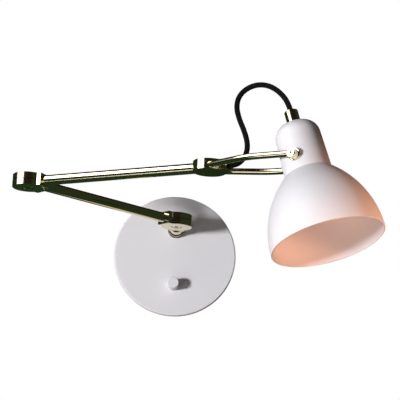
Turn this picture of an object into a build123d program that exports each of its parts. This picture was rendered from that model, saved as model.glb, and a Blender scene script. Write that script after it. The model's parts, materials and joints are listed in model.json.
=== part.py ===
from build123d import *
from math import asin, atan2, cos, degrees, pi, radians, sin, sqrt, tan
import os

# Articulating wall lamp. Millimetres. +X right along the wall, +Y into the wall, +Z up.
# Origin: centre of the wall plate, in the plane of the wall surface.

# ---------------------------------------------------------------- wall plate and what is behind it
PLATE_D = 125.0          # outside diameter of the round cover
PLATE_DEPTH = 6.0        # how far the cover stands out from the wall
PLATE_SHEET = 1.5        # sheet thickness of the cover
PLATE_EDGE_R = 1.4       # rounding of the cover's front edge
FRAME_GAP = 0.3          # clearance between mounting frame and cover
FRAME_SHEET = 2.0        # thickness of the mounting frame
DIMMER_WINDOW_D = 24.0   # openings of the mounting frame, round what stands behind the cover
NUT_WINDOW_D = 20.0
WIRE_WINDOW_D = 14.0
WIRE_WINDOW_X = -24.0
WALL_SCREW_SPACING = 88.9
WALL_SLOT_W = 4.5
WALL_SLOT_L = 10.0
EDGE_BLOCK_W = 12.0      # blocks on the frame that take the cover's side screws
EDGE_BLOCK_T = 8.0
SIDE_SCREW_D = 2.5
SIDE_SCREW_L = 5.0
SIDE_SCREW_HEX = 1.3
SIDE_SCREW_HEX_T = 1.5
SIDE_SCREW_SUNK = 0.2    # below the cover's rim
TERMINAL_L = 24.0
TERMINAL_D = 15.0
TERMINAL_H = 12.0
TERMINAL_POLES = 3
TERMINAL_HOLE_D = 3.6
TERMINAL_PITCH = 7.0
TERMINAL_X = 24.0
TERMINAL_FIT = 0.1       # between the block and its window in the frame
TERMINAL_LIP = 2.0       # the block's lip, wider than the window all round
TERMINAL_LIP_T = 1.2

# ---------------------------------------------------------------- dimmer and its knob
KNOB_Z = -31.0
KNOB_D = 11.6
KNOB_L = 14.6
KNOB_GAP = 0.4           # between the knob's back and the cover
KNOB_EDGE_R = 0.8
KNOB_CAVITY_D = 10.2
KNOB_CAVITY_L = 2.6
SPINDLE_D = 6.0
SPINDLE_FIT = 0.05       # running clearance on the radius
SPINDLE_IN_KNOB = 9.0
BUSH_D = 7.4
BUSH_FIT = 0.1
BUSH_STICK_OUT = 2.6     # bush beyond the front of the cover
DIMMER_D = 22.0
DIMMER_L = 17.0
DIMMER_NUT_D = 9.6
DIMMER_NUT_T = 1.6
DIMMER_NUT_SLOT_W = 1.2
SPINDLE_TAIL = 8.0       # length of spindle inside the dimmer
SPINDLE_END_GAP = 0.3
SPINDLE_FLAT_T = 1.5     # metal missing at the flat that drives the knob
TAG_W = 2.4
TAG_L = 5.0
TAG_T = 0.6
TAG_PITCH = 5.0
TAG_DROP = 4.0           # tags below the dimmer's axis
TAG_ROOT = 0.5           # tags inside the dimmer's back

# ---------------------------------------------------------------- wall post
ARM_Z = 27.0             # height of the arms' middle plane above the plate's centre
WALL_JOINT_OUT = 39.5    # wall joint's axis, in front of the cover
POST_D = 14.6
POST_GROOVE_D = 12.6
POST_BAND_D = 16.4
POST_FLANGE_D = 17.6
POST_FLANGE_T = 2.0
POST_BAND_T = 3.2
POST_GROOVE_T = 2.2
POST_EDGE = 0.5
POST_RIM_EDGE = 0.6
STUD_D = 10.0
STUD_FIT = 0.1
STUD_L = 12.0            # stud behind the post's flange
POST_WASHER_D = 24.0
POST_WASHER_T = 2.0
POST_NUT_AF = 15.0
POST_NUT_T = 5.0

# ---------------------------------------------------------------- half-lap knuckles
DRUM_R = 15.5
DRUM_H = 12.5
LUG_W = 16.0             # full-height lug that carries the tube
LUG_END = 18.0           # flat end face of the lug, from the joint's axis
LUG_FILLET_R = 2.0       # between drum and lug
LAP_GAP = 0.5            # height of the slit between the two laps
LAP_R = DRUM_R + 0.4     # round seat cut in the lug for the other lap
KNUCKLE_EDGE = 0.4
BORE_END_WALL = 0.8      # metal between the wires' bore and the round seat
LEAD_BORE_D = 5.6        # way for the wires through knuckles, post and hub
SPIGOT_WALL = 0.7
SPIGOT_D = LEAD_BORE_D + 2 * SPIGOT_WALL
SPIGOT_L = 12.0          # pressed into tube, post or hub
BOLT_D = 6.0
BOLT_FIT = 0.05
BOLT_HEAD_D = 9.4
BOLT_HEAD_T = 1.8
BOLT_RECESS_D = 10.4
BOLT_RECESS_T = 2.1      # depth of the round recess for the bolt's head
BOLT_HEX_AF = 4.0
BOLT_HEX_T = 1.4
BOLT_TOP_GAP = 0.6       # bolt's end below the top of the upper lap's blind bore
LAP_ROOF = 1.6           # metal left above the bolt
WASHER_D = 28.0
WASHER_T = 0.4
WASHER_FIT = 0.2         # round the bolt

# ---------------------------------------------------------------- arms
ARM_D = 10.0
LOWER_ARM_L = 190.0      # wall joint to elbow, axis to axis
UPPER_ARM_L = 195.0      # elbow to the middle of the fork hub
LOWER_ARM_TURN = 221.0   # direction of the lower arm from +X, about +Z
UPPER_ARM_TURN = -28.6   # direction of the upper arm and fork from +X, about +Z
LEAD_LIFT = 0.3          # flex above the bottom of its bore
LEAD_END_GAP = 2.0       # flex inside an arm stops this far behind a round seat

# ---------------------------------------------------------------- fork
HUB_R = 15.5
HUB_H = 10.0
TAIL_W = 12.0            # blunt tail of the hub, where the flex comes out
TAIL_END = 20.5
TAIL_FILLET_R = 14.0     # hollow flanks between hub and tail
FORK_L = 96.5            # hub's middle to the shade's pivot axis
FORK_DROP = 1.0          # rods and pivot below the arms' middle plane
ROD_D = 6.0
ROD_ROOT = (2.6, 10.7)   # along and across the fork, inside the hub
ROD_BEND_X = 50.0
ROD_BEND_R = 80.0
EYE_OUT = 26.5           # middle of each eye, across from the fork's axis
EYE_D = 9.4
EYE_L = 6.0
OUTLET_BUSH_D = 7.4
OUTLET_BUSH_L = 6.0

# ---------------------------------------------------------------- shade, along its own axis from the pivot
SHADE_TILT = 19.15       # mouth leans this far out from straight down
SHADE_WALL = 1.6
CAP_TOP = -37.0          # flat top of the cap, above the pivot
CAP_R = 13.0             # rounded shoulder
NECK_TOP_R = 20.7
CREASE = 12.8            # where neck and bell meet, below the pivot
NECK_LOW_R = 21.8
RIM_R = 52.3
RIM = 81.0               # mouth, below the pivot
LIP = 0.8                # straight edge at the mouth
RIM_EDGE_R = 0.35
NIPPLE_HOLE_FIT = 0.1

# ---------------------------------------------------------------- gland, nipple and lampholder
GLAND_D = 12.7
GLAND_L = 13.3
GLAND_EDGE_R = 0.9
FLEX_D = 5.0
FLEX_HOLE_D = 5.6
NIPPLE_D = 10.0
NIPPLE_BORE_D = 6.4
NIPPLE_UP = 9.0          # nipple inside the gland
NIPPLE_NUT_AF = 14.0
NIPPLE_NUT_T = 2.5
HOLDER_CAP_T = 9.0
HOLDER_CAP_R = 3.0
HOLDER_FLOOR = 3.0       # plastic below the nipple's end
HOLDER_R = 13.2
HOLDER_L = 34.0
HOLDER_BORE_D = 16.4
HOLDER_RING_D = 29.0
HOLDER_RING_L = 4.0
SLEEVE_IN_D = 13.4       # E14 thread, inside
SLEEVE_WALL = 0.4
SLEEVE_L = 15.0
SLEEVE_SUNK = 1.5        # sleeve's end inside the holder's mouth
CONTACT_D = 5.0
CONTACT_T = 1.2
CONTACT_GAP = 1.0        # between contact and sleeve

# ---------------------------------------------------------------- shade pivots
SCREW_D = 4.0
SCREW_FIT = 0.05
SCREW_HEAD_D = 7.6
SCREW_HEAD_T = 0.9
SCREW_HEX = 2.6
SCREW_HEX_T = 1.0        # hexagon below the head
SCREW_END_GAP = 0.5      # screw's end inside the boss
PIVOT_EDGE = 0.4         # broken edges of eyes, spacers and screw heads
SIDE_PLAY = 0.1          # between eye and its neighbours
SPACER_D = 11.4
BOSS_D = 9.0
BOSS_IN = 14.2           # inner end of the boss, from the shade's axis

# ---------------------------------------------------------------- flex between hub and gland
# along the fork from the hub's middle, and up from the arms' middle plane
FLEX_ROUTE = [
    (27.2, 0.2), (33.6, 4.0), (37.6, 11.0), (37.9, 20.0), (34.0, 31.5), (27.6, 44.5),
    (24.2, 56.0), (26.4, 66.0), (34.0, 72.6), (44.5, 75.4), (56.0, 73.6), (67.0, 67.0),
]
FLEX_LAST_RUN = 10.0     # straight stretch into the gland
FLEX_ARC_SHARE = 0.45    # share of the shorter run that each arc takes

COVER_BACK = PLATE_SHEET - PLATE_DEPTH
WALL_JOINT_Y = -PLATE_DEPTH - WALL_JOINT_OUT
SAVE_DIR = "parts"


def save(name, solid):
    export_step(solid, os.path.join(SAVE_DIR, name + ".step"))


def turned(angle, length=1.0):
    """Step of a given length in the direction angle about +Z."""
    return Vector(cos(radians(angle)) * length, sin(radians(angle)) * length, 0)


WALL_JOINT = Vector(0, WALL_JOINT_Y, ARM_Z)
ELBOW = WALL_JOINT + turned(LOWER_ARM_TURN, LOWER_ARM_L)
HUB = ELBOW + turned(UPPER_ARM_TURN, UPPER_ARM_L)
PIVOT = HUB + turned(UPPER_ARM_TURN, FORK_L) - Vector(0, 0, FORK_DROP)

TO_WALL_JOINT = Location(WALL_JOINT)
LOWER_AT_WALL = Location(WALL_JOINT, (0, 0, LOWER_ARM_TURN))
LOWER_AT_ELBOW = Location(ELBOW, (0, 0, LOWER_ARM_TURN + 180))
UPPER_AT_ELBOW = Location(ELBOW, (0, 0, UPPER_ARM_TURN))
FORK = Location(HUB, (0, 0, UPPER_ARM_TURN))
# the shade is drawn with its axis on Z, mouth up, and turned over at the pivot
SHADE = Location(PIVOT, (0, 0, UPPER_ARM_TURN)) * Location((0, 0, 0), (0, 180 - SHADE_TILT, 0))


def disc(diameter, low, high, centre=(0, 0)):
    """Round bar along Z between two heights."""
    bar = Cylinder(diameter / 2, high - low, align=(Align.CENTER, Align.CENTER, Align.MIN))
    return Pos(centre[0], centre[1], low) * bar


def rod_y(diameter, low, high, x=0, z=0):
    """Round bar along Y between two places."""
    bar = Cylinder(diameter / 2, high - low, align=(Align.CENTER, Align.CENTER, Align.MIN))
    return Pos(x, low, z) * Rot(-90, 0, 0) * bar


def rod_x(diameter, low, high, y=0, z=0):
    """Round bar along X between two places."""
    bar = Cylinder(diameter / 2, high - low, align=(Align.CENTER, Align.CENTER, Align.MIN))
    return Pos(low, y, z) * Rot(0, 90, 0) * bar


def hexagon_y(across_flats, low, high, x=0, z=0):
    """Hexagonal bar along Y between two places."""
    bar = extrude(RegularPolygon(across_flats / 2, 6, major_radius=False), high - low)
    return Pos(x, low, z) * Rot(-90, 0, 0) * bar


def hexagon_z(across_flats, low, high):
    """Hexagonal bar along Z between two heights."""
    bar = extrude(RegularPolygon(across_flats / 2, 6, major_radius=False), high - low)
    return Pos(0, 0, low) * bar


# ================================================================ wall plate
def wall_plate():
    """Shallow pressed cover, open at the back."""
    shell = rod_y(PLATE_D, -PLATE_DEPTH, 0)
    shell = fillet(shell.edges().group_by(Axis.Y)[0], PLATE_EDGE_R)
    shell -= rod_y(PLATE_D - 2 * PLATE_SHEET, COVER_BACK, 1)
    shell -= rod_y(STUD_D + 2 * STUD_FIT, -PLATE_DEPTH - 1, 0, z=ARM_Z)
    shell -= rod_y(BUSH_D + 2 * BUSH_FIT, -PLATE_DEPTH - 1, 0, z=KNOB_Z)
    for side in (1, -1):
        shell -= side_screw_place(side) * disc(SIDE_SCREW_D, 0, PLATE_D)
    return shell


def side_screw_place(side):
    """On the plate's axis, Z pointing outwards to the right or the left of the rim."""
    return Location((0, COVER_BACK / 2, 0), (0, 90 * side, 0))


def mounting_frame():
    """Round plate screwed over the box in the wall, behind the cover."""
    outer_d = PLATE_D - 2 * PLATE_SHEET - 2 * FRAME_GAP
    frame = rod_y(outer_d, -FRAME_SHEET, 0)
    frame -= rod_y(DIMMER_WINDOW_D, -FRAME_SHEET - 1, 1, z=KNOB_Z)
    frame -= rod_y(NUT_WINDOW_D, -FRAME_SHEET - 1, 1, z=ARM_Z)
    frame -= rod_y(WIRE_WINDOW_D, -FRAME_SHEET - 1, 1, x=WIRE_WINDOW_X)
    window = Box(TERMINAL_L + 2 * TERMINAL_FIT, 2 * PLATE_DEPTH, TERMINAL_H + 2 * TERMINAL_FIT)
    frame -= Pos(TERMINAL_X, 0, 0) * window
    depth = -COVER_BACK - FRAME_GAP
    for side in (1, -1):
        block = Box(EDGE_BLOCK_T, depth, EDGE_BLOCK_W,
                    align=(Align.CENTER, Align.MAX, Align.CENTER))
        block = Pos(side * (outer_d - EDGE_BLOCK_T) / 2, 0, 0) * block
        frame += block & rod_y(outer_d, -PLATE_DEPTH, 0)
        slot = extrude(SlotOverall(WALL_SLOT_L, WALL_SLOT_W), PLATE_DEPTH, both=True)
        slot = Rot(90, 0, 0) * slot
        frame -= Pos(side * WALL_SCREW_SPACING / 2, 0, 0) * slot
        frame -= side_screw_place(side) * disc(SIDE_SCREW_D, 0, PLATE_D)
    return frame


def side_screws():
    """Two headless screws through the rim, one at each side."""
    screws = []
    end = PLATE_D / 2 - SIDE_SCREW_SUNK
    for side in (1, -1):
        screw = disc(SIDE_SCREW_D, end - SIDE_SCREW_L, end)
        screw -= hexagon_z(SIDE_SCREW_HEX, end - SIDE_SCREW_HEX_T, end + 1)
        screws.append(side_screw_place(side) * screw)
    return Compound(children=screws)


def terminal_block():
    """Row of connectors pushed through a window of the frame, its lip on the frame's front."""
    back = TERMINAL_D - FRAME_SHEET
    block = Pos(0, -FRAME_SHEET, 0) * Box(
        TERMINAL_L, TERMINAL_D, TERMINAL_H, align=(Align.CENTER, Align.MIN, Align.CENTER))
    block = fillet(block.edges().group_by(Axis.Y)[-1], 1.0)
    for pole in range(TERMINAL_POLES):
        x = (pole - (TERMINAL_POLES - 1) / 2) * TERMINAL_PITCH
        block -= Pos(x, back - TERMINAL_HOLE_D, 0) * disc(TERMINAL_HOLE_D, -TERMINAL_H, TERMINAL_H)
    lip = Box(TERMINAL_L + 2 * TERMINAL_LIP, TERMINAL_LIP_T, TERMINAL_H + 2 * TERMINAL_LIP,
              align=(Align.CENTER, Align.MAX, Align.CENTER))
    block += Pos(0, -FRAME_SHEET, 0) * lip
    return Pos(TERMINAL_X, 0, 0) * block


# ================================================================ dimmer and knob
def dimmer_body():
    """Round dimmer behind the cover, with its threaded bush through the cover."""
    body = rod_y(DIMMER_D, COVER_BACK, COVER_BACK + DIMMER_L)
    body = fillet(body.edges().group_by(Axis.Y)[-1], 1.0)
    body += rod_y(BUSH_D, -PLATE_DEPTH - BUSH_STICK_OUT, COVER_BACK)
    for tag in (-1, 0, 1):
        blade = Box(TAG_W, TAG_L, TAG_T, align=(Align.CENTER, Align.MIN, Align.CENTER))
        body += Pos(tag * TAG_PITCH, COVER_BACK + DIMMER_L - TAG_ROOT, -TAG_DROP) * blade
    bore_end = COVER_BACK + SPINDLE_TAIL + SPINDLE_END_GAP
    body -= rod_y(SPINDLE_D + 2 * SPINDLE_FIT, -PLATE_DEPTH - BUSH_STICK_OUT - 1, bore_end)
    return Pos(0, 0, KNOB_Z) * body


def dimmer_nut():
    """Flat nut that clamps the dimmer to the cover, hidden in the knob."""
    front = -PLATE_DEPTH - DIMMER_NUT_T
    nut = rod_y(DIMMER_NUT_D, front, -PLATE_DEPTH) - rod_y(BUSH_D, front - 1, 0)
    slot = Box(DIMMER_NUT_D + 2, DIMMER_NUT_T / 2, DIMMER_NUT_SLOT_W,
               align=(Align.CENTER, Align.MIN, Align.CENTER))
    nut -= Pos(0, front, 0) * slot
    return Pos(0, 0, KNOB_Z) * nut


def spindle_and_knob():
    """Turning shaft of the dimmer and the knob pushed on it."""
    back = -PLATE_DEPTH - KNOB_GAP
    front = back - KNOB_L
    tip = front + KNOB_L - SPINDLE_IN_KNOB
    spindle = rod_y(SPINDLE_D, tip, COVER_BACK + SPINDLE_TAIL)
    flat = Box(SPINDLE_D, SPINDLE_IN_KNOB - KNOB_CAVITY_L, SPINDLE_FLAT_T,
               align=(Align.CENTER, Align.MIN, Align.MIN))
    spindle -= Pos(0, tip, SPINDLE_D / 2 - SPINDLE_FLAT_T) * flat
    knob = rod_y(KNOB_D, front, back)
    knob = fillet(knob.edges().group_by(Axis.Y)[0], KNOB_EDGE_R)
    knob -= rod_y(KNOB_CAVITY_D, back - KNOB_CAVITY_L, back + 1)
    knob -= spindle
    return Pos(0, 0, KNOB_Z) * spindle, Pos(0, 0, KNOB_Z) * knob


# ================================================================ wall post
def wall_post():
    """Turned post with two grooves and a band, a flange on the cover and a hollow threaded stud."""
    front = WALL_JOINT_Y + LUG_END
    flange = -PLATE_DEPTH - POST_FLANGE_T
    band = flange - POST_GROOVE_T - POST_BAND_T
    post = rod_y(POST_D, front, band - POST_GROOVE_T)
    post = chamfer(post.edges().group_by(Axis.Y)[0], POST_EDGE)
    post += rod_y(POST_GROOVE_D, band - POST_GROOVE_T, flange)
    ring = rod_y(POST_BAND_D, band, band + POST_BAND_T)
    post += chamfer(ring.edges().filter_by(GeomType.CIRCLE), POST_EDGE)
    rim = rod_y(POST_FLANGE_D, flange, -PLATE_DEPTH)
    post += chamfer(rim.edges().group_by(Axis.Y)[0], POST_RIM_EDGE)
    post += rod_y(STUD_D, -PLATE_DEPTH, -PLATE_DEPTH + STUD_L)
    post -= rod_y(SPIGOT_D, front - 1, front + SPIGOT_L)
    post -= rod_y(LEAD_BORE_D, front, STUD_L)
    return Pos(0, 0, ARM_Z) * post


def post_washer():
    """Wide washer behind the cover."""
    washer = rod_y(POST_WASHER_D, COVER_BACK, COVER_BACK + POST_WASHER_T)
    washer -= rod_y(STUD_D + 2 * STUD_FIT, COVER_BACK - 1, COVER_BACK + POST_WASHER_T + 1)
    return Pos(0, 0, ARM_Z) * washer


def post_nut():
    """Nut on the post's stud."""
    front = COVER_BACK + POST_WASHER_T
    nut = hexagon_y(POST_NUT_AF, front, front + POST_NUT_T)
    nut -= rod_y(STUD_D, front - 1, front + POST_NUT_T + 1)
    return Pos(0, 0, ARM_Z) * nut


# ================================================================ knuckles
def comet(radius, width, end, fillet_r):
    """Plan of a round drum with a straight or hollow-flanked lug along +X, cut square at its end."""
    plan = Circle(radius) + Rectangle(2 * end, width, align=(Align.MIN, Align.CENTER))
    corners = [v for v in plan.vertices() if 1 < v.X < radius]
    plan = fillet(corners, fillet_r)
    return plan & Pos(end, 0) * Rectangle(4 * end, 4 * radius, align=(Align.MAX, Align.CENTER))


def blank(plan, height):
    """Plate of a given plan about the middle plane, with its top and bottom edges broken."""
    plate = extrude(plan, height / 2, both=True)
    faces = plate.faces().sort_by(Axis.Z)
    return chamfer(faces[0].edges() + faces[-1].edges(), KNUCKLE_EDGE)


def spigot(end):
    """Hollow spigot that goes from a lug's end into a tube or the post."""
    return rod_x(SPIGOT_D, end - 1, end + SPIGOT_L)


def knuckle(upper):
    """Half-lap knuckle: half the drum's height, and a full-height lug behind a round seat."""
    half = blank(comet(DRUM_R, LUG_W, LUG_END, LUG_FILLET_R), DRUM_H)
    seat = disc(2 * LAP_R, -LAP_GAP / 2, DRUM_H)
    # the seat is cut from the top of a lower knuckle, from the bottom of an upper one
    if upper:
        seat = Rot(180, 0, 0) * seat
    half -= seat
    half += spigot(LUG_END)
    half -= rod_x(LEAD_BORE_D, LAP_R + BORE_END_WALL, LUG_END + SPIGOT_L + 1)
    if upper:
        half -= disc(BOLT_D + 2 * BOLT_FIT, -DRUM_H, DRUM_H / 2 - LAP_ROOF)
    else:
        half -= disc(BOLT_D, -DRUM_H, DRUM_H)
        half -= disc(BOLT_RECESS_D, -DRUM_H, -DRUM_H / 2 + BOLT_RECESS_T)
    return half


def joint_bolt():
    """Shoulder bolt, let into the lower lap from below and running in the upper lap."""
    bottom = -DRUM_H / 2 + BOLT_RECESS_T - BOLT_HEAD_T
    bolt = disc(BOLT_D, bottom + BOLT_HEAD_T, DRUM_H / 2 - LAP_ROOF - BOLT_TOP_GAP)
    head = disc(BOLT_HEAD_D, bottom, bottom + BOLT_HEAD_T)
    bolt += chamfer(head.edges().group_by(Axis.Z)[0], KNUCKLE_EDGE)
    return bolt - hexagon_z(BOLT_HEX_AF, bottom - 1, bottom + BOLT_HEX_T)


def friction_washer():
    """Thin ring between the two laps."""
    low = -LAP_GAP / 2
    return disc(WASHER_D, low, low + WASHER_T) - disc(BOLT_D + 2 * WASHER_FIT, -1, 1)


# ================================================================ arm tubes
def arm_tube(length):
    """Tube with its axis on X, from 0 to its length."""
    return rod_x(ARM_D, 0, length) - rod_x(SPIGOT_D, -1, length + 1)


def upper_arm_tube():
    """Tube from the elbow's lug, its far end shaped to the hub's round side."""
    tube = Pos(LUG_END, 0, 0) * arm_tube(UPPER_ARM_L - LUG_END)
    return tube - Pos(UPPER_ARM_L, 0, 0) * disc(2 * HUB_R, -ARM_D, ARM_D)


def lead(low, high):
    """Straight stretch of flex resting just above the bottom of its bore."""
    drop = (LEAD_BORE_D - FLEX_D) / 2 - LEAD_LIFT
    return rod_x(FLEX_D, low, high, z=-drop)


# ================================================================ fork
def rod_path(side):
    """Middle line of one fork rod, from inside the hub to its eye."""
    points = [ROD_ROOT, (ROD_BEND_X, EYE_OUT), (FORK_L, EYE_OUT)]
    return FilletPolyline(*[(x, side * y) for x, y in points], radius=ROD_BEND_R)


def fork_rod(side):
    """Round bar, bent once, with its end shaped to the round side of the eye."""
    path = rod_path(side)
    bar = sweep(Plane(origin=path @ 0, z_dir=path % 0) * Circle(ROD_D / 2), path=path)
    bar -= Pos(FORK_L, 0, 0) * rod_y(EYE_D, -2 * EYE_OUT, 2 * EYE_OUT)
    return Pos(0, 0, -FORK_DROP) * bar


def fork_hub(rods):
    """Solid drum with a blunt tail that carries both rods, bored through for the flex."""
    hub = blank(comet(HUB_R, TAIL_W, TAIL_END, TAIL_FILLET_R), HUB_H)
    hub += rod_x(SPIGOT_D, -HUB_R - SPIGOT_L, 0)
    hub -= rod_x(LEAD_BORE_D, -HUB_R - SPIGOT_L - 1, TAIL_END + 1)
    hub -= rod_x(OUTLET_BUSH_D, TAIL_END - OUTLET_BUSH_L, TAIL_END + 1)
    for rod in rods:
        hub -= rod
    return hub


def outlet_bush():
    """Soft bush in the hub's tail, round the flex."""
    bush = rod_x(OUTLET_BUSH_D, TAIL_END - OUTLET_BUSH_L, TAIL_END)
    return bush - rod_x(FLEX_HOLE_D, 0, 2 * TAIL_END)


def fork_eye(side):
    """Short round eye at the end of a rod, bored for the pivot screw."""
    low = side * EYE_OUT - EYE_L / 2
    eye = rod_y(EYE_D, low, low + EYE_L)
    eye = chamfer(eye.edges().filter_by(GeomType.CIRCLE), PIVOT_EDGE)
    eye -= rod_y(SCREW_D + 2 * SCREW_FIT, low - 1, low + EYE_L + 1)
    return Pos(FORK_L, 0, -FORK_DROP) * eye


# ================================================================ shade
def shade_outline(inset, mouth):
    """Half section of the shade's outer form, drawn inset by a wall, X out and Y towards the mouth."""
    rise = RIM - LIP - CREASE
    spread = RIM_R - NECK_LOW_R
    bell_r = (rise * rise + spread * spread) / (2 * spread)
    centre = Vector(RIM_R - bell_r, RIM - LIP)
    end_angle = degrees(asin(rise / bell_r))
    taper = Vector(NECK_LOW_R - NECK_TOP_R, CREASE - CAP_TOP - CAP_R).normalized()
    low_r = NECK_LOW_R - inset / taper.Y
    # the bell's inner face meets the neck's inner face a little nearer the mouth
    reach = bell_r - inset
    meet = RIM - LIP - sqrt(reach * reach - (low_r - centre.X) ** 2)
    half_angle = degrees(atan2(RIM - LIP - meet, low_r - centre.X)) / 2
    bend = centre + Vector(reach * cos(radians(half_angle)), -reach * sin(radians(half_angle)))
    top = CAP_TOP + inset
    shoulder = CAP_R - inset
    shoulder_x = NECK_TOP_R - inset / taper.Y
    shoulder_y = CAP_TOP + CAP_R
    diagonal = Vector(sin(radians(45)), -cos(radians(45))) * shoulder
    turn = Vector(shoulder_x - shoulder, shoulder_y) + diagonal
    lines = [
        Line((0, top), (shoulder_x - shoulder, top)),
        ThreePointArc((shoulder_x - shoulder, top), turn, (shoulder_x, shoulder_y)),
        Line((shoulder_x, shoulder_y), (low_r, meet)),
        ThreePointArc((low_r, meet), bend, (RIM_R - inset, RIM - LIP)),
        Line((RIM_R - inset, RIM - LIP), (RIM_R - inset, mouth)),
        Line((RIM_R - inset, mouth), (0, mouth)),
        Line((0, mouth), (0, top)),
    ]
    return make_face(Curve() + lines)


def turned_form(inset, mouth):
    """Solid of revolution with the shade's axis on Z, mouth up."""
    section = Plane.XZ * shade_outline(inset, mouth)
    return revolve(section, Axis.Z)


def across(diameter, low, high):
    """Round bar along the pivot axis, in the shade's own frame."""
    return rod_y(diameter, low, high)


def shade_shell():
    """Spun shade: rounded cap, plain neck, hollow bell."""
    shell = turned_form(0, RIM) - turned_form(SHADE_WALL, RIM + 1)
    shell = fillet(shell.edges().group_by(Axis.Z)[-1], RIM_EDGE_R)
    shell -= disc(NIPPLE_D + 2 * NIPPLE_HOLE_FIT, CAP_TOP - 1, CAP_TOP + 3)
    shell -= across(SCREW_D, -2 * NECK_LOW_R, 2 * NECK_LOW_R)
    return shell


def pivot_bosses():
    """Pair of threaded bosses inside the neck, shaped to its wall."""
    inside = turned_form(SHADE_WALL, RIM)
    bosses = []
    for side in (1, -1):
        ends = sorted((side * BOSS_IN, side * NECK_LOW_R))
        boss = across(BOSS_D, ends[0], ends[1])
        boss = (boss & inside) - across(SCREW_D, -2 * NECK_LOW_R, 2 * NECK_LOW_R)
        bosses.append(boss)
    return Compound(children=bosses)


def pivot_spacers():
    """Pair of turned spacers between neck and eyes, shaped to the neck."""
    outside = turned_form(0, RIM)
    outer = EYE_OUT - EYE_L / 2 - SIDE_PLAY
    spacers = []
    for side in (1, -1):
        ends = sorted((side * BOSS_IN, side * outer))
        spacer = across(SPACER_D, ends[0], ends[1])
        edge = spacer.edges().filter_by(GeomType.CIRCLE).sort_by(Axis.Y)[-1 if side > 0 else 0]
        spacer = chamfer(edge, PIVOT_EDGE) - outside
        spacer -= across(SCREW_D, -2 * EYE_OUT, 2 * EYE_OUT)
        spacers.append(spacer)
    return Compound(children=spacers)


def pivot_screws():
    """Pair of screws through eye, spacer and neck into the bosses."""
    seat = EYE_OUT + EYE_L / 2 + SIDE_PLAY
    screws = []
    for side in (1, -1):
        ends = sorted((side * (BOSS_IN + SCREW_END_GAP), side * seat))
        screw = across(SCREW_D, ends[0], ends[1])
        ends = sorted((side * seat, side * (seat + SCREW_HEAD_T)))
        head = across(SCREW_HEAD_D, ends[0], ends[1])
        edge = head.edges().filter_by(GeomType.CIRCLE).sort_by(Axis.Y)[-1 if side > 0 else 0]
        screw += fillet(edge, PIVOT_EDGE)
        recess = hexagon_y(SCREW_HEX, seat - SCREW_HEX_T, seat + 2 * SCREW_HEAD_T)
        if side < 0:
            recess = Rot(180, 0, 0) * recess
        screws.append(screw - recess)
    return Compound(children=screws)


# ================================================================ gland and lampholder
def cord_gland():
    """Turned sleeve on top of the cap that grips the flex."""
    gland = disc(GLAND_D, CAP_TOP - GLAND_L, CAP_TOP)
    gland = fillet(gland.edges().group_by(Axis.Z)[0], GLAND_EDGE_R)
    gland -= disc(NIPPLE_D, CAP_TOP - NIPPLE_UP, CAP_TOP + 1)
    return gland - disc(FLEX_HOLE_D, CAP_TOP - GLAND_L - 1, CAP_TOP)


NIPPLE_NUT_LOW = CAP_TOP + SHADE_WALL
HOLDER_TOP = NIPPLE_NUT_LOW + NIPPLE_NUT_T
HOLDER_BODY_LOW = HOLDER_TOP + HOLDER_CAP_T
HOLDER_MOUTH = HOLDER_BODY_LOW + HOLDER_L
NIPPLE_END = HOLDER_BODY_LOW - HOLDER_FLOOR
SLEEVE_TOP = HOLDER_MOUTH - SLEEVE_SUNK
SLEEVE_LOW = SLEEVE_TOP - SLEEVE_L
WELL_FLOOR = SLEEVE_LOW - CONTACT_T - CONTACT_GAP


def threaded_nipple():
    """Hollow threaded tube through the cap."""
    nipple = disc(NIPPLE_D, CAP_TOP - NIPPLE_UP, NIPPLE_END)
    return nipple - disc(NIPPLE_BORE_D, CAP_TOP - 2 * NIPPLE_UP, CREASE)


def nipple_nut():
    """Nut inside the cap."""
    return hexagon_z(NIPPLE_NUT_AF, NIPPLE_NUT_LOW, HOLDER_TOP) - disc(NIPPLE_D, CAP_TOP, CREASE)


def holder_cap():
    """Upper half of the lampholder, screwed on the nipple."""
    cap = disc(2 * HOLDER_R, HOLDER_TOP, HOLDER_TOP + HOLDER_CAP_T)
    cap = fillet(cap.edges().group_by(Axis.Z)[0], HOLDER_CAP_R)
    cap -= disc(NIPPLE_D, CAP_TOP, NIPPLE_END)
    return cap - disc(NIPPLE_BORE_D, CAP_TOP, CREASE)


def holder_body():
    """Lower half of the lampholder, with the round well for the bulb's cap and a collar."""
    body = disc(2 * HOLDER_R, HOLDER_BODY_LOW, HOLDER_MOUTH)
    body += disc(HOLDER_RING_D, HOLDER_MOUTH - HOLDER_RING_L, HOLDER_MOUTH)
    return body - disc(HOLDER_BORE_D, WELL_FLOOR, HOLDER_MOUTH + 1)


def holder_sleeve():
    """Thin threaded sleeve that the bulb screws into, with a turned lip on the well's floor."""
    outer = SLEEVE_IN_D + 2 * SLEEVE_WALL
    sleeve = disc(outer, SLEEVE_LOW, SLEEVE_TOP)
    sleeve += disc(HOLDER_BORE_D, SLEEVE_LOW, SLEEVE_LOW + SLEEVE_WALL)
    return sleeve - disc(SLEEVE_IN_D, CAP_TOP, HOLDER_MOUTH + 1)


def holder_contact():
    """Sprung centre contact on the well's floor."""
    return disc(CONTACT_D, WELL_FLOOR, WELL_FLOOR + CONTACT_T)


# ================================================================ flex
def flex_points():
    """Route of the flex in the fork's upright middle plane, from the hub's end to the gland."""
    outlet = (TAIL_END, 0.0)
    lean = radians(SHADE_TILT)
    height = GLAND_L - CAP_TOP
    top = (FORK_L - height * sin(lean), height * cos(lean) - FORK_DROP)
    last = (top[0] - FLEX_LAST_RUN * sin(lean), top[1] + FLEX_LAST_RUN * cos(lean))
    return [outlet] + FLEX_ROUTE + [last, top]


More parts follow.
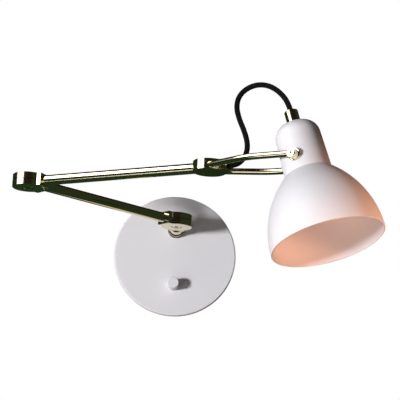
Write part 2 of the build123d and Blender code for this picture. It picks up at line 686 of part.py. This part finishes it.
def flex():
    """Tube of straight runs joined by tangent arcs."""
    points = [Vector(x, 0, z) for x, z in flex_points()]
    radii = []
    for before, here, after in zip(points, points[1:], points[2:]):
        turn = (here - before).get_angle(after - here)
        shorter = min((here - before).length, (after - here).length)
        radii.append(FLEX_ARC_SHARE * shorter / tan(radians(turn) / 2))
    path = FilletPolyline(*points, radius=radii)
    tube = sweep(Plane(origin=path @ 0, z_dir=path % 0) * Circle(FLEX_D / 2), path=path)
    section = pi * FLEX_D ** 2 / 4
    print("flex length", round(path.length, 1), "volume over section times length",
          round(tube.volume / (section * path.length), 4))
    print("flex radii", [round(radius, 1) for radius in radii])
    return tube


# ================================================================ assembly
def build_wall_base():
    save("wall_plate", wall_plate())
    save("mounting_frame", mounting_frame())
    save("cover_side_screws", side_screws())
    save("terminal_block", terminal_block())
    save("dimmer_body", dimmer_body())
    save("dimmer_nut", dimmer_nut())
    save("wall_post", wall_post())
    save("wall_post_washer", post_washer())
    save("wall_post_nut", post_nut())
    save("wall_knuckle", TO_WALL_JOINT * Rot(0, 0, 90) * knuckle(upper=True))


def build_knob():
    spindle, knob = spindle_and_knob()
    save("dimmer_spindle", spindle)
    save("dimmer_knob", knob)


def build_lower_arm():
    save("lower_arm_wall_knuckle", LOWER_AT_WALL * knuckle(upper=False))
    save("lower_arm_elbow_knuckle", LOWER_AT_ELBOW * knuckle(upper=False))
    tube = Pos(LUG_END, 0, 0) * arm_tube(LOWER_ARM_L - 2 * LUG_END)
    save("lower_arm_tube", LOWER_AT_WALL * tube)
    save("lower_arm_lead", LOWER_AT_WALL * lead(LAP_R + LEAD_END_GAP, LOWER_ARM_L - LAP_R - LEAD_END_GAP))
    save("wall_joint_bolt", LOWER_AT_WALL * joint_bolt())
    save("elbow_joint_bolt", LOWER_AT_ELBOW * joint_bolt())
    save("wall_joint_washer", LOWER_AT_WALL * friction_washer())
    save("elbow_joint_washer", LOWER_AT_ELBOW * friction_washer())


def build_upper_arm():
    save("upper_arm_elbow_knuckle", UPPER_AT_ELBOW * knuckle(upper=True))
    save("upper_arm_tube", UPPER_AT_ELBOW * upper_arm_tube())
    save("upper_arm_lead", UPPER_AT_ELBOW * lead(LAP_R + LEAD_END_GAP, UPPER_ARM_L + LUG_END))
    front_rod = fork_rod(-1)
    rear_rod = fork_rod(1)
    save("fork_hub", FORK * fork_hub([front_rod, rear_rod]))
    save("front_fork_rod", FORK * front_rod)
    save("rear_fork_rod", FORK * rear_rod)
    save("front_fork_eye", FORK * fork_eye(-1))
    save("rear_fork_eye", FORK * fork_eye(1))
    save("hub_outlet_bush", FORK * outlet_bush())


def build_head():
    save("shade", SHADE * shade_shell())
    save("pivot_bosses", SHADE * pivot_bosses())
    save("pivot_spacers", SHADE * pivot_spacers())
    save("pivot_screws", SHADE * pivot_screws())
    save("cord_gland", SHADE * cord_gland())
    save("threaded_nipple", SHADE * threaded_nipple())
    save("nipple_nut", SHADE * nipple_nut())
    save("lampholder_cap", SHADE * holder_cap())
    save("lampholder_body", SHADE * holder_body())
    save("lampholder_sleeve", SHADE * holder_sleeve())
    save("lampholder_contact", SHADE * holder_contact())
    save("lamp_flex", FORK * flex())


os.makedirs(SAVE_DIR, exist_ok=True)
build_wall_base()
build_knob()
build_lower_arm()
build_upper_arm()
build_head()
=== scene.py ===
"""Looks of the articulating wall lamp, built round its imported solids.

Metres, +X right along the wall, +Y into it, +Z up.
"""

import json
import math

import bpy
from bpy.props import FloatProperty, FloatVectorProperty, PointerProperty, StringProperty
from mathutils import Matrix, Vector


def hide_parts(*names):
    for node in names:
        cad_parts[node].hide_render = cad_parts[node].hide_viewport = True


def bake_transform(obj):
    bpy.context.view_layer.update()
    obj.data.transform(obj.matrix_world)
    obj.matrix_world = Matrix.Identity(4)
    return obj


bl_info = {
    "name": "Articulating wall lamp",
    "version": (1, 0, 0),
    "blender": (4, 5, 0),
    "location": "View3D > Sidebar > Wall Lamp",
    "description": "Paints the wall lamp's solids, lays its flex and sets its stage",
    "category": "Object",
}

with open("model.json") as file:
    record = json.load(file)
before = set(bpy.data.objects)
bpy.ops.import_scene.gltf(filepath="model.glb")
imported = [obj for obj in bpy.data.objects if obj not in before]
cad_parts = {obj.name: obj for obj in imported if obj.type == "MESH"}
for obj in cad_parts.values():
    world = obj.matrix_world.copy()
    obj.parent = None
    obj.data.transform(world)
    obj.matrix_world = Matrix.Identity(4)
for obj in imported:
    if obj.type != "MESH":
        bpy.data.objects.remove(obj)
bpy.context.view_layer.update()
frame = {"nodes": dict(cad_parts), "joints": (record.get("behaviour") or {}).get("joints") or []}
MM = 0.001
MICRON_DIGITS = 6                # decimals of a place in metres that is given to the micron
UPWARDS = Vector((0, 0, 1))

# ---------------------------------------------------------------- fork and flex, in millimetres
FORK_LENGTH = 96.5               # from the hub's middle to the shade's pivot
FORK_DROP = 1.0                  # pivot below the arms' middle plane
# along the fork from the hub's middle, and up from the arms' middle plane
FLEX_ROUTE = [
    (20.5, 0.0), (27.2, 0.2), (33.6, 4.0), (37.6, 11.0), (37.9, 20.0),
    (34.0, 31.5), (27.6, 44.5), (24.2, 56.0), (26.4, 66.0), (34.0, 72.6),
    (44.5, 75.4), (56.0, 73.6), (67.0, 67.0), (76.72, 55.96), (80.0, 46.52),
]
FLEX_SIDES = 20                  # flat faces round the tube, too narrow to be seen
FLEX_STEPS = 16                  # points of its line for each point of the route
BRAID_YARNS = 8                  # crossings of the braid round the flex
BRAID_RELIEF = 0.18              # from the bottom of the weave to its top

# ---------------------------------------------------------------- which solid is made of what
PLATE_NODES = {
    "wall_plate": "powder_coat",
    "cover_side_screws": "zinc_plated_steel",
}
KNOB_NODES = {
    "dimmer_knob": "powder_coat",
    "dimmer_spindle": "zinc_plated_steel",
    "dimmer_nut": "zinc_plated_steel",
    "dimmer_body": "moulded_nylon",
}
WALL_SIDE_NODES = {
    "mounting_frame": "zinc_plated_steel",
    "terminal_block": "moulded_polyamide",
    "wall_post_washer": "zinc_plated_steel",
    "wall_post_nut": "zinc_plated_steel",
}
ARM_NODES = {
    "wall_post": "polished_brass",
    "wall_knuckle": "polished_brass",
    "lower_arm_wall_knuckle": "polished_brass",
    "lower_arm_tube": "polished_brass",
    "lower_arm_elbow_knuckle": "polished_brass",
    "upper_arm_elbow_knuckle": "polished_brass",
    "upper_arm_tube": "polished_brass",
    "wall_joint_bolt": "polished_brass",
    "elbow_joint_bolt": "polished_brass",
    "wall_joint_washer": "pressed_fibre",
    "elbow_joint_washer": "pressed_fibre",
    "lower_arm_lead": "cotton_braid",
    "upper_arm_lead": "cotton_braid",
}
FORK_NODES = {
    "fork_hub": "polished_brass",
    "front_fork_rod": "polished_brass",
    "rear_fork_rod": "polished_brass",
    "front_fork_eye": "polished_brass",
    "rear_fork_eye": "polished_brass",
    "pivot_spacers": "polished_brass",
    "pivot_screws": "polished_brass",
    "pivot_bosses": "zinc_plated_steel",
    "hub_outlet_bush": "moulded_nylon",
}
SHADE_NODES = {
    "shade": "powder_coat",
    "cord_gland": "polished_brass",
    "threaded_nipple": "zinc_plated_steel",
    "nipple_nut": "zinc_plated_steel",
    "lampholder_cap": "moulded_thermoset",
    "lampholder_body": "moulded_thermoset",
    "lampholder_sleeve": "drawn_brass",
    "lampholder_contact": "drawn_brass",
}


# ================================================================ materials
def linear(hex_code):
    """Linear RGBA of an sRGB hex colour."""
    values = [int(hex_code[i:i + 2], 16) / 255 for i in (0, 2, 4)]
    return [v / 12.92 if v <= 0.04045 else ((v + 0.055) / 1.055) ** 2.4 for v in values] + [1.0]


def add(tree, kind, inputs=None, **attributes):
    """Adds one node with its settings. An input that is given a socket is linked, any other is set."""
    made = tree.nodes.new(kind)
    for name, value in attributes.items():
        setattr(made, name, value)
    for name, value in (inputs or {}).items():
        if isinstance(value, bpy.types.NodeSocket):
            tree.links.new(value, made.inputs[name])
        else:
            made.inputs[name].default_value = value
    return made


def empty_tree(owner):
    """Tree of a material or a world, cleared."""
    owner.use_nodes = True
    owner.node_tree.nodes.clear()
    return owner.node_tree


def new_material(name, inputs):
    """Material of one Principled shader with these inputs, and its tree."""
    made = bpy.data.materials.new(name)
    tree = empty_tree(made)
    shader = add(tree, "ShaderNodeBsdfPrincipled", inputs)
    add(tree, "ShaderNodeOutputMaterial", {"Surface": shader.outputs["BSDF"]})
    return made, tree, shader


def coordinates(tree, kind):
    """Place of a point: Object is on the lamp in metres, UV on the piece's own unrolled face."""
    return add(tree, "ShaderNodeTexCoord").outputs[kind]


def cells_per_metre(size_mm):
    """Texture scale that makes one cell of noise about this many millimetres."""
    return 1 / (size_mm * MM)


def fine_noise(tree, size_mm, detail=2.0):
    """Noise whose cells are of a real size."""
    return add(tree, "ShaderNodeTexNoise", {
        "Vector": coordinates(tree, "Object"), "Scale": cells_per_metre(size_mm), "Detail": detail,
    }).outputs["Fac"]


def span(tree, value, low, high):
    """Turns a value of 0 to 1 into one between low and high."""
    return add(tree, "ShaderNodeMapRange", {
        "Value": value, "To Min": low, "To Max": high,
    }).outputs["Result"]


def uneven_roughness(tree, shader, middle, swing, patch_mm, detail=2.0):
    """Roughness that strays from its middle by up to a swing, in patches of a real size."""
    roughness = span(tree, fine_noise(tree, patch_mm, detail), middle - swing, middle + swing)
    tree.links.new(roughness, shader.inputs["Roughness"])


def bump(tree, shader, height, depth_mm):
    """Relief of a real depth on the shader's normal."""
    made = add(tree, "ShaderNodeBump", {"Height": height, "Distance": depth_mm * MM, "Strength": 1.0})
    tree.links.new(made.outputs["Normal"], shader.inputs["Normal"])


def powder_coat():
    """Fine satin powder coat on sheet steel: soft wide highlight, faint orange peel."""
    settings = bpy.context.scene.wall_lamp
    made, tree, shader = new_material("powder_coated_steel", {
        "Base Color": linear(settings.paint_hex), "Specular IOR Level": 0.35,
    })
    uneven_roughness(tree, shader, settings.paint_roughness, swing=0.03, patch_mm=6.0)
    bump(tree, shader, fine_noise(tree, size_mm=1.4), depth_mm=0.012)
    return made


def polished_brass():
    """Polished, lacquered brass: pale, with sharp dark and bright stripes that blur a little."""
    settings = bpy.context.scene.wall_lamp
    made, tree, shader = new_material("polished_lacquered_brass", {
        "Base Color": linear(settings.brass_hex), "Metallic": 1.0,
    })
    uneven_roughness(tree, shader, settings.brass_roughness, swing=0.01, patch_mm=30.0)
    return made


def drawn_brass():
    """Drawn sheet brass of contacts: yellower and duller than the polished pieces."""
    made, tree, shader = new_material("drawn_sheet_brass", {
        "Base Color": linear("C9A65C"), "Metallic": 1.0,
    })
    uneven_roughness(tree, shader, 0.35, swing=0.07, patch_mm=2.0)
    return made


def zinc_plated_steel():
    """Bright zinc plate on steel: cool grey, slightly cloudy."""
    made, tree, shader = new_material("zinc_plated_steel", {
        "Base Color": linear("C6C9CC"), "Metallic": 1.0,
    })
    uneven_roughness(tree, shader, 0.32, swing=0.08, patch_mm=5.0, detail=3.0)
    bump(tree, shader, fine_noise(tree, size_mm=1.0), depth_mm=0.006)
    return made


def moulded(name, hex_code, roughness, grain_mm):
    """Moulded plastic with the fine grain of its mould."""
    made, tree, shader = new_material(name, {"Base Color": linear(hex_code)})
    uneven_roughness(tree, shader, roughness, swing=0.04, patch_mm=grain_mm)
    bump(tree, shader, fine_noise(tree, grain_mm), depth_mm=0.01)
    return made


def moulded_nylon():
    """Black moulded nylon: dull, nearly no highlight."""
    return moulded("moulded_black_nylon", "1C1C1E", roughness=0.55, grain_mm=0.6)


def moulded_polyamide():
    """Natural white polyamide of a terminal block: slightly yellow, dull."""
    return moulded("moulded_natural_polyamide", "E6E2D6", roughness=0.5, grain_mm=0.8)


def moulded_thermoset():
    """White thermoset of a lampholder: hard, fairly glossy."""
    return moulded("moulded_white_thermoset", "ECE9E2", roughness=0.32, grain_mm=0.8)


def pressed_fibre():
    """Pressed friction fibre: dark brown, dead flat, speckled."""
    return moulded("pressed_friction_fibre", "2A231C", roughness=0.85, grain_mm=0.4)


def cotton_braid():
    """Braided black cotton over flex: two crossing rows of yarn, dull, with a faint sheen at the edges."""
    made, tree, shader = new_material("braided_cotton_sleeve", {
        "Roughness": 0.95, "Specular IOR Level": 0.2, "Sheen Weight": 0.06, "Sheen Roughness": 0.5,
    })
    place = add(tree, "ShaderNodeSeparateXYZ", {"Vector": coordinates(tree, "UV")})
    along, around = place.outputs["X"], place.outputs["Y"]
    rows = []
    for turn in (1.0, -1.0):
        slanted = add(tree, "ShaderNodeMath", {0: around, 1: turn, 2: along}, operation="MULTIPLY_ADD")
        wave = add(tree, "ShaderNodeMath", {0: slanted.outputs[0], 1: math.tau}, operation="MULTIPLY")
        rows.append(add(tree, "ShaderNodeMath", {0: wave.outputs[0]}, operation="SINE").outputs[0])
    weave = add(tree, "ShaderNodeMath", {0: rows[0], 1: rows[1]}, operation="MULTIPLY").outputs[0]
    height = add(tree, "ShaderNodeMapRange", {"Value": weave, "From Min": -1.0}).outputs["Result"]
    # painted shade: the yarns are coloured darker towards the bottom of the weave and lighter at its top,
    # standing in for shade in the hollows between them
    colour = add(tree, "ShaderNodeMix", {
        "Factor": height, "A": linear("030303"), "B": linear("0E0E0F"),
    }, data_type="RGBA").outputs["Result"]
    tree.links.new(colour, shader.inputs["Base Color"])
    bump(tree, shader, height, depth_mm=BRAID_RELIEF)
    return made


MAKERS = {maker.__name__: maker for maker in (
    powder_coat, polished_brass, drawn_brass, zinc_plated_steel, moulded_nylon, moulded_polyamide,
    moulded_thermoset, pressed_fibre, cotton_braid)}
made_materials = {}              # those made so far, by their maker's name


def material(name):
    """The material of that name, made on first use."""
    if name not in made_materials:
        made_materials[name] = MAKERS[name]()
    return made_materials[name]


def finish_nodes(table):
    """Gives each named solid its material and smooth curved faces."""
    for name, finish in table.items():
        solid = frame["nodes"][name]
        solid.data.materials.clear()
        solid.data.materials.append(material(finish))
        solid.data.shade_smooth()


def new_object(name, data):
    """Object in the scene that holds the data."""
    made = bpy.data.objects.new(name, data)
    bpy.context.scene.collection.objects.link(made)
    return made


# ================================================================ flex
def fork_line():
    """The flex's route in the fork's upright middle plane, in metres, placed from the shade's pivot."""
    pivot = next(joint for joint in frame["joints"] if joint["name"] == "head_tilt")
    outwards = Vector(pivot["axis"]).cross(UPWARDS)
    hub = Vector(pivot["pos_m"]) + (UPWARDS * FORK_DROP - outwards * FORK_LENGTH) * MM
    hub = Vector([round(value, MICRON_DIGITS) for value in hub])
    return [hub + (outwards * along + UPWARDS * up) * MM for along, up in FLEX_ROUTE]


def curve_line(name, points):
    """Points along the smooth curve that a row of control points guides."""
    data = bpy.data.curves.new(name, "CURVE")
    data.dimensions = "3D"
    data.resolution_u = FLEX_STEPS
    spline = data.splines.new("NURBS")
    spline.points.add(len(points) - 1)
    for knot, point in zip(spline.points, points):
        knot.co = (*point, 1.0)
    spline.order_u = 3
    spline.use_endpoint_u = True
    guide = new_object(name, data)
    bpy.context.view_layer.update()
    mesh = bpy.data.meshes.new_from_object(guide)
    line = [vertex.co.copy() for vertex in mesh.vertices]
    bpy.data.meshes.remove(mesh)
    bpy.data.objects.remove(guide)
    bpy.data.curves.remove(data)
    return line


def tube_mesh(name, line, radius, pitch):
    """Round closed tube along a line. Its UV runs in braid pitches along it and in yarns round it."""
    vertices, faces, places = [], [], []
    side = (line[1] - line[0]).orthogonal().normalized()
    run, travelled = 0.0, []
    for i, point in enumerate(line):
        ahead = (line[min(i + 1, len(line) - 1)] - line[max(i - 1, 0)]).normalized()
        side = (side - ahead * side.dot(ahead)).normalized()
        up = ahead.cross(side)
        run += (point - line[i - 1]).length if i else 0.0
        travelled.append(run)
        for k in range(FLEX_SIDES):
            angle = math.tau * k / FLEX_SIDES
            vertices.append(point + (side * math.cos(angle) + up * math.sin(angle)) * radius)
    for i in range(len(line) - 1):
        for k in range(FLEX_SIDES):
            after = (k + 1) % FLEX_SIDES
            low, high = i * FLEX_SIDES, (i + 1) * FLEX_SIDES
            faces.append((low + k, low + after, high + after, high + k))
            for ring, turn in ((i, k), (i, k + 1), (i + 1, k + 1), (i + 1, k)):
                places.append((travelled[ring] / pitch, turn / FLEX_SIDES * BRAID_YARNS))
    last = (len(line) - 1) * FLEX_SIDES
    for end in (range(FLEX_SIDES - 1, -1, -1), range(last, last + FLEX_SIDES)):
        faces.append(tuple(end))
        places += [(0.0, 0.0)] * FLEX_SIDES
    mesh = bpy.data.meshes.new(name)
    mesh.from_pydata(vertices, [], faces)
    for corner, place in zip(mesh.uv_layers.new(name="braid").data, places):
        corner.uv = place
    mesh.shade_smooth()
    mesh.validate()
    return mesh


# ================================================================ settings
class WallLampSettings(bpy.types.PropertyGroup):
    """Colours and sizes of the lamp's finishes"""

    paint_hex: StringProperty(
        name="Paint", description="sRGB hex colour of the powder coat", default="EDEAEE")
    paint_roughness: FloatProperty(
        name="Paint roughness", description="Roughness of the powder coat", default=0.5,
        min=0.05, max=1.0, subtype="FACTOR")
    brass_hex: StringProperty(
        name="Brass", description="sRGB hex colour of the polished brass", default="E8DCC0")
    brass_roughness: FloatProperty(
        name="Brass roughness", description="Roughness of the polished brass", default=0.12,
        min=0.04, max=1.0, subtype="FACTOR")
    flex_diameter: FloatProperty(
        name="Flex diameter", description="Outside diameter of the braided flex", default=0.005,
        min=0.003, max=0.008, subtype="DISTANCE", unit="LENGTH")
    braid_pitch: FloatProperty(
        name="Braid pitch", description="Length of one crossing of the braid along the flex",
        default=0.0016, min=0.0005, max=0.01, subtype="DISTANCE", unit="LENGTH")


class WallLampStageSettings(bpy.types.PropertyGroup):
    """Light and background of the picture"""

    key_watts: FloatProperty(
        name="Key light", description="Power of the soft light from the left", default=83.0,
        min=0.0, subtype="POWER", unit="POWER")
    warm_watts: FloatProperty(
        name="Warm light", description="Power that the warm lights on the shade share out", default=3.0,
        min=0.0, subtype="POWER", unit="POWER")
    ambient: FloatProperty(
        name="Ambient", description="Strength of the light from all round", default=0.012, min=0.0)
    warm_colour: FloatVectorProperty(
        name="Warm colour", description="Colour of the warm lights", default=linear("FFB890")[:3],
        subtype="COLOR", min=0.0, max=1.0)


# ================================================================ operators
class WALLLAMP_OT_plate(bpy.types.Operator):
    """Finishes the round wall plate and its side screws"""

    bl_idname = "wall_lamp.plate"
    bl_label = "Wall plate"

    def execute(self, context):
        finish_nodes(PLATE_NODES)
        return {"FINISHED"}


class WALLLAMP_OT_knob(bpy.types.Operator):
    """Finishes the dimmer and its knob"""

    bl_idname = "wall_lamp.knob"
    bl_label = "Dimmer and knob"

    def execute(self, context):
        finish_nodes(KNOB_NODES)
        return {"FINISHED"}


class WALLLAMP_OT_wall_side(bpy.types.Operator):
    """Finishes what is hidden between the plate and the wall"""

    bl_idname = "wall_lamp.wall_side"
    bl_label = "Fixings behind the plate"

    def execute(self, context):
        finish_nodes(WALL_SIDE_NODES)
        return {"FINISHED"}


class WALLLAMP_OT_arms(bpy.types.Operator):
    """Finishes the post, the half-lap knuckles and both arms"""

    bl_idname = "wall_lamp.arms"
    bl_label = "Post, knuckles and arms"

    def execute(self, context):
        finish_nodes(ARM_NODES)
        return {"FINISHED"}


class WALLLAMP_OT_fork(bpy.types.Operator):
    """Finishes the fork and the shade's pivots"""

    bl_idname = "wall_lamp.fork"
    bl_label = "Fork and pivots"

    def execute(self, context):
        finish_nodes(FORK_NODES)
        return {"FINISHED"}


class WALLLAMP_OT_shade(bpy.types.Operator):
    """Finishes the shade, its gland and the lampholder"""

    bl_idname = "wall_lamp.shade"
    bl_label = "Shade and lampholder"

    def execute(self, context):
        finish_nodes(SHADE_NODES)
        return {"FINISHED"}


class WALLLAMP_OT_flex(bpy.types.Operator):
    """Lays the braided flex from the fork's hub to the gland"""

    bl_idname = "wall_lamp.flex"
    bl_label = "Flex"

    def execute(self, context):
        settings = context.scene.wall_lamp
        line = curve_line("flex_line", fork_line())
        mesh = tube_mesh("braided_flex", line, settings.flex_diameter / 2, settings.braid_pitch)
        mesh.materials.append(material("cotton_braid"))
        flex = new_object("braided_flex", mesh)
        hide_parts("lamp_flex")
        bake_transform(flex)
        return {"FINISHED"}


# ================================================================ stage, in metres
CAMERA_PLACE = (0.0091, -2.2125, -0.4952)
CAMERA_RIGHT = Vector((0.99818, -0.02035, 0.05682))
CAMERA_UP = Vector((-0.06007, -0.24343, 0.96806))
CAMERA_FORWARD = Vector((0.00587, 0.96970, 0.24421))
CAMERA_NEAREST, CAMERA_FURTHEST = 0.05, 60.0
LENS_MM, SENSOR_MM = 198.0, 36.0

# what the lights are aimed at
LAMP_MIDDLE = Vector((0.0, -0.2, 0.0))
SHADE_NECK = (0.113, -0.31, 0.0)
SHADE_MOUTH = (0.135, -0.325, -0.03)
SHADE_SHOULDER = (0.17, -0.33, -0.04)

# colours of the two cool lights, and the smaller lights' power against the key's or the warm setting
KEY_COLOUR, FILL_COLOUR = (0.975, 0.985, 1.0), (1.0, 0.97, 0.985)
FILL_SHARE, MOUTH_SHARE, SHOULDER_SHARE = 0.5, 5.8, 1.15

# the dark room's half width, its floor below and its ends before and behind the lamp's middle
ROOM_HALF, ROOM_LOW, ROOM_FRONT, ROOM_BACK = 2.0, 0.9, 4.0, 9.0
FLOOR_HALF, FLOOR_LEVEL = 6.0, -1.2
OUT_OF_WALL = Vector((0, -1, 0))
CORNERS = [(-1, -1), (1, -1), (1, 1), (-1, 1)]


def flat_panel(name, middle, across, rise, finish):
    """Flat panel of the stage from its middle and its two half sides. Its UV is -1 to 1 both ways."""
    mesh = bpy.data.meshes.new(name)
    mesh.from_pydata([middle + across * x + rise * y for x, y in CORNERS], [], [(0, 1, 2, 3)])
    for corner, place in zip(mesh.uv_layers.new(name="panel").data, CORNERS):
        corner.uv = place
    mesh.materials.append(finish)
    panel = new_object(name, mesh)
    return panel


def card_glow(name, colour, strength, border):
    """Glow of a card, fading to nothing at both sides over a border, a share of the half width."""
    glowing = bpy.data.materials.new(name)
    tree = empty_tree(glowing)
    glow = add(tree, "ShaderNodeEmission", {"Color": linear(colour), "Strength": strength})
    if border:
        place = add(tree, "ShaderNodeSeparateXYZ", {"Vector": coordinates(tree, "UV")})
        off = add(tree, "ShaderNodeMath", {0: place.outputs["X"]}, operation="ABSOLUTE").outputs[0]
        power = add(tree, "ShaderNodeMapRange", {
            "Value": off, "From Min": 1.0 - border, "To Min": strength, "To Max": 0.0,
        }, interpolation_type="SMOOTHSTEP").outputs["Result"]
        tree.links.new(power, glow.inputs["Strength"])
    add(tree, "ShaderNodeOutputMaterial", {"Surface": glow.outputs["Emission"]})
    return glowing


def card(name, place, facing, upwards, size, colour, strength=1.0, border=0.0):
    """Flat glowing panel that only reflections see."""
    across = upwards.cross(facing).normalized() * size[0] / 2
    rise = upwards.normalized() * size[1] / 2
    panel = flat_panel(name, Vector(place), across, rise, card_glow(name, colour, strength, border))
    panel.visible_camera = False
    panel.visible_diffuse = False
    panel.visible_transmission = False
    panel.visible_shadow = False


def dark_room():
    """Dark room that the brass mirrors: a tunnel round the line of sight, open and white at its far end."""
    middle = LAMP_MIDDLE + CAMERA_FORWARD * (ROOM_BACK - ROOM_FRONT) / 2
    wide, long = 2 * ROOM_HALF, ROOM_FRONT + ROOM_BACK
    for name, outwards, distance, colour in (
            ("room_left", -CAMERA_RIGHT, ROOM_HALF, "20301C"),
            ("room_right", CAMERA_RIGHT, ROOM_HALF, "2C3324"),
            ("room_low", -CAMERA_UP, ROOM_LOW, "253823"),
            ("room_top", CAMERA_UP, ROOM_HALF, "221C12")):
        card(name, middle + outwards * distance, -outwards, CAMERA_FORWARD, (wide, long), colour)
    card("room_front", LAMP_MIDDLE - CAMERA_FORWARD * ROOM_FRONT, CAMERA_FORWARD, CAMERA_UP,
         (wide, wide), "22301C")


def nearby_cards():
    """What the brass mirrors nearer by: a large soft light, the pale wall and a dark flag before it."""
    card("softbox", place=(-1.17, -0.87, 0.825), facing=Vector((0.646, 0.214, -0.735)),
         upwards=Vector((0.699, 0.231, 0.677)), size=(1.8, 1.25), colour="FFFFFF", strength=4.5, border=0.55)
    card("wall_glow", place=(-0.01, 0.004, -0.08), facing=OUT_OF_WALL, upwards=UPWARDS,
         size=(0.14, 0.16), colour="D8C8A8", border=0.5)
    card("flag", place=(0.035, -0.13, -0.02), facing=OUT_OF_WALL, upwards=UPWARDS,
         size=(0.14, 0.09), colour="1C2C18")


def add_light(name, kind, place, target, watts, colour):
    """Light at a place, aimed at a target. Neither the camera nor reflections see it."""
    data = bpy.data.lights.new(name, kind)
    data.energy = watts
    data.color = colour
    light = new_object(name, data)
    light.location = place
    light.rotation_mode = "QUATERNION"
    light.rotation_quaternion = (Vector(target) - Vector(place)).to_track_quat("-Z", "Y")
    light.visible_camera = False
    light.visible_glossy = False
    return data


def square_light(name, place, target, side, watts, colour):
    """Soft square light."""
    data = add_light(name, "AREA", place, target, watts, colour)
    data.shape = "SQUARE"
    data.size = side


def cone_light(name, place, target, cone, radius, watts, colour):
    """Soft light that keeps to a cone of some degrees, so that it lights one place alone."""
    data = add_light(name, "SPOT", place, target, watts, colour)
    data.spot_size = math.radians(cone)
    data.spot_blend = 1.0
    data.shadow_soft_size = radius


def lights(settings):
    """Soft key from the left, its fill on the shade's neck, and two warm lights on the bell."""
    key, warm, glow = settings.key_watts, settings.warm_watts, settings.warm_colour
    square_light("key", place=(-2.0, -2.3, -0.44), target=LAMP_MIDDLE, side=0.4,
                 watts=key, colour=KEY_COLOUR)
    cone_light("upper_fill", place=(-0.9, -1.6, 1.0), target=SHADE_NECK, cone=9.0, radius=0.2,
               watts=key * FILL_SHARE, colour=FILL_COLOUR)
    cone_light("mouth_glow", place=(0.22, -0.68, -0.70), target=SHADE_MOUTH, cone=18.0, radius=0.1,
               watts=warm * MOUTH_SHARE, colour=glow)
    cone_light("shoulder_glow", place=(0.38, -0.46, -0.03), target=SHADE_SHOULDER, cone=31.0, radius=0.05,
               watts=warm * SHOULDER_SHARE, colour=glow)


def camera():
    """Camera at the photo's viewing angle."""
    data = bpy.data.cameras.new("camera")
    data.lens, data.sensor_width = LENS_MM, SENSOR_MM
    data.clip_start, data.clip_end = CAMERA_NEAREST, CAMERA_FURTHEST
    made = new_object("camera", data)
    turn = Matrix((CAMERA_RIGHT, CAMERA_UP, -CAMERA_FORWARD)).transposed()
    made.matrix_world = Matrix.Translation(CAMERA_PLACE) @ turn.to_4x4()
    bpy.context.scene.camera = made


def seen_ray(tree):
    """1 for the camera's, reflected and transmitted rays, and 0 for those that carry light."""
    ray = add(tree, "ShaderNodeLightPath")
    seen = ray.outputs["Is Camera Ray"]
    for other in ("Is Glossy Ray", "Is Transmission Ray"):
        seen = add(tree, "ShaderNodeMath", {0: seen, 1: ray.outputs[other]}, operation="MAXIMUM").outputs[0]
    return seen


def backdrop(ambient):
    """White behind the lamp for the camera and in reflections, dim for all other light."""
    world = bpy.data.worlds.new("white_backdrop")
    bpy.context.scene.world = world
    tree = empty_tree(world)
    strength = span(tree, seen_ray(tree), ambient, 1.0)
    light = add(tree, "ShaderNodeBackground", {"Color": linear("FFFFFF"), "Strength": strength})
    add(tree, "ShaderNodeOutputWorld", {"Surface": light.outputs["Background"]})


def paper_floor():
    """Pale matt paper: nearly white where it is seen, with the lamp's shadow on it. It lights nothing."""
    paper, tree, shader = new_material("pale_paper_floor", {
        "Base Color": linear("E8E4DC"), "Roughness": 0.8, "Emission Color": linear("F2F0EC"),
    })
    tree.links.new(span(tree, seen_ray(tree), 0.0, 0.8), shader.inputs["Emission Strength"])
    flat_panel("floor", UPWARDS * FLOOR_LEVEL, Vector((FLOOR_HALF, 0, 0)), Vector((0, FLOOR_HALF, 0)), paper)


class WALLLAMP_OT_stage(bpy.types.Operator):
    """Sets the camera, the lights, the reflection cards, the floor and the backdrop"""

    bl_idname = "wall_lamp.stage"
    bl_label = "Stage"

    def execute(self, context):
        settings = context.scene.wall_lamp_stage
        camera()
        backdrop(settings.ambient)
        lights(settings)
        dark_room()
        nearby_cards()
        paper_floor()
        context.scene.view_settings.view_transform = "Standard"
        return {"FINISHED"}


# ================================================================ panel
class WALLLAMP_PT_panel(bpy.types.Panel):
    """Lists the wall lamp's operators and settings"""

    bl_idname = "WALLLAMP_PT_panel"
    bl_label = "Wall Lamp"
    bl_space_type = "VIEW_3D"
    bl_region_type = "UI"
    bl_category = "Wall Lamp"

    def draw(self, context):
        for group in (context.scene.wall_lamp, context.scene.wall_lamp_stage):
            for name in group.__annotations__:
                self.layout.prop(group, name)
        for operator in OPERATORS:
            self.layout.operator(operator.bl_idname)


OPERATORS = (
    WALLLAMP_OT_plate,
    WALLLAMP_OT_knob,
    WALLLAMP_OT_wall_side,
    WALLLAMP_OT_arms,
    WALLLAMP_OT_fork,
    WALLLAMP_OT_shade,
    WALLLAMP_OT_flex,
    WALLLAMP_OT_stage,
)
CLASSES = (WallLampSettings, WallLampStageSettings, *OPERATORS, WALLLAMP_PT_panel)


def register():
    """Registers the classes and hangs the settings on the scene."""
    for one in CLASSES:
        bpy.utils.register_class(one)
    bpy.types.Scene.wall_lamp = PointerProperty(type=WallLampSettings)
    bpy.types.Scene.wall_lamp_stage = PointerProperty(type=WallLampStageSettings)


def unregister():
    """Takes the settings and the classes away again."""
    del bpy.types.Scene.wall_lamp_stage
    del bpy.types.Scene.wall_lamp
    for one in reversed(CLASSES):
        bpy.utils.unregister_class(one)


def main():
    """Builds the lamp's looks in order."""
    register()
    for operator in OPERATORS:
        group, name = operator.bl_idname.split(".")
        if getattr(getattr(bpy.ops, group), name)() != {"FINISHED"}:
            raise RuntimeError(operator.bl_label + " wasn't finished")


if __name__ == "__main__":
    main()
